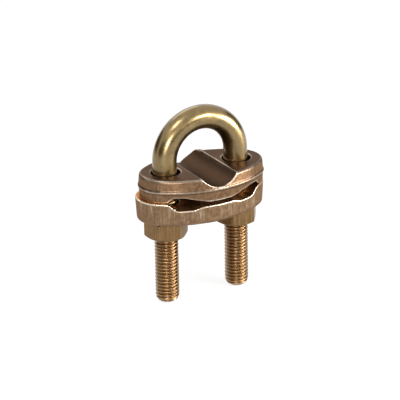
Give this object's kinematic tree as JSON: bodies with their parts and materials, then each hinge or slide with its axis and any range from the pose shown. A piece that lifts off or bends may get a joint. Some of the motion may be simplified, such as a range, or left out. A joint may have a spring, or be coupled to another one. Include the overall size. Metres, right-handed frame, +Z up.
{
  "type": "earth rod clamp",
  "caption": "U-bolt earth rod clamp in brass and bronze: a threaded bow, an upper saddle plate with a rod groove, a lower keeper plate with conductor channels, and hex nuts.",
  "frame": {"origin": "centre of the bow's bend, on the axis of the gripped rod", "axes": "+Z up to the crown of the bow, X from leg to leg, Y along the rod"},
  "size_m": [0.0572, 0.0372, 0.0825],
  "materials": {
    "brass_bar": "satin",
    "cast_bronze_upper": "matte",
    "cast_bronze_lower": "matte",
    "brass_nut": "satin"
  },
  "bodies": {
    "keeper": {"keeper_plate": "cast_bronze_lower"},
    "saddle": {"saddle_plate": "cast_bronze_upper"},
    "bow": {"u_bolt": "brass_bar"},
    "left_nut": {"nut_left": "brass_nut"},
    "right_nut": {"nut_right": "brass_nut"}
  },
  "joints": [
    {"name": "nut_left_turn", "type": "hinge", "parent": "keeper", "child": "left_nut", "pos_m": [-0.0165, 0, -0.0277], "axis": [0, 0, -1], "range_deg": [-360, 6120]},
    {"name": "nut_right_turn", "type": "hinge", "parent": "keeper", "child": "right_nut", "pos_m": [0.0165, 0, -0.0277], "axis": [0, 0, -1], "range_deg": [-360, 6120]},
    {"name": "bow_slide", "type": "slide", "parent": "keeper", "child": "bow", "axis": [0, 0, 1], "range_m": [-0.0015, 0.0255]},
    {"name": "saddle_lift", "type": "slide", "parent": "keeper", "child": "saddle", "axis": [0, 0, 1], "range_m": [0, 0.003]}
  ],
  "couplings": [
    {"joint": "nut_left_turn", "follows": "bow_slide", "rad_per_m": 4188.8},
    {"joint": "nut_right_turn", "follows": "bow_slide", "rad_per_m": 4188.8}
  ]
}
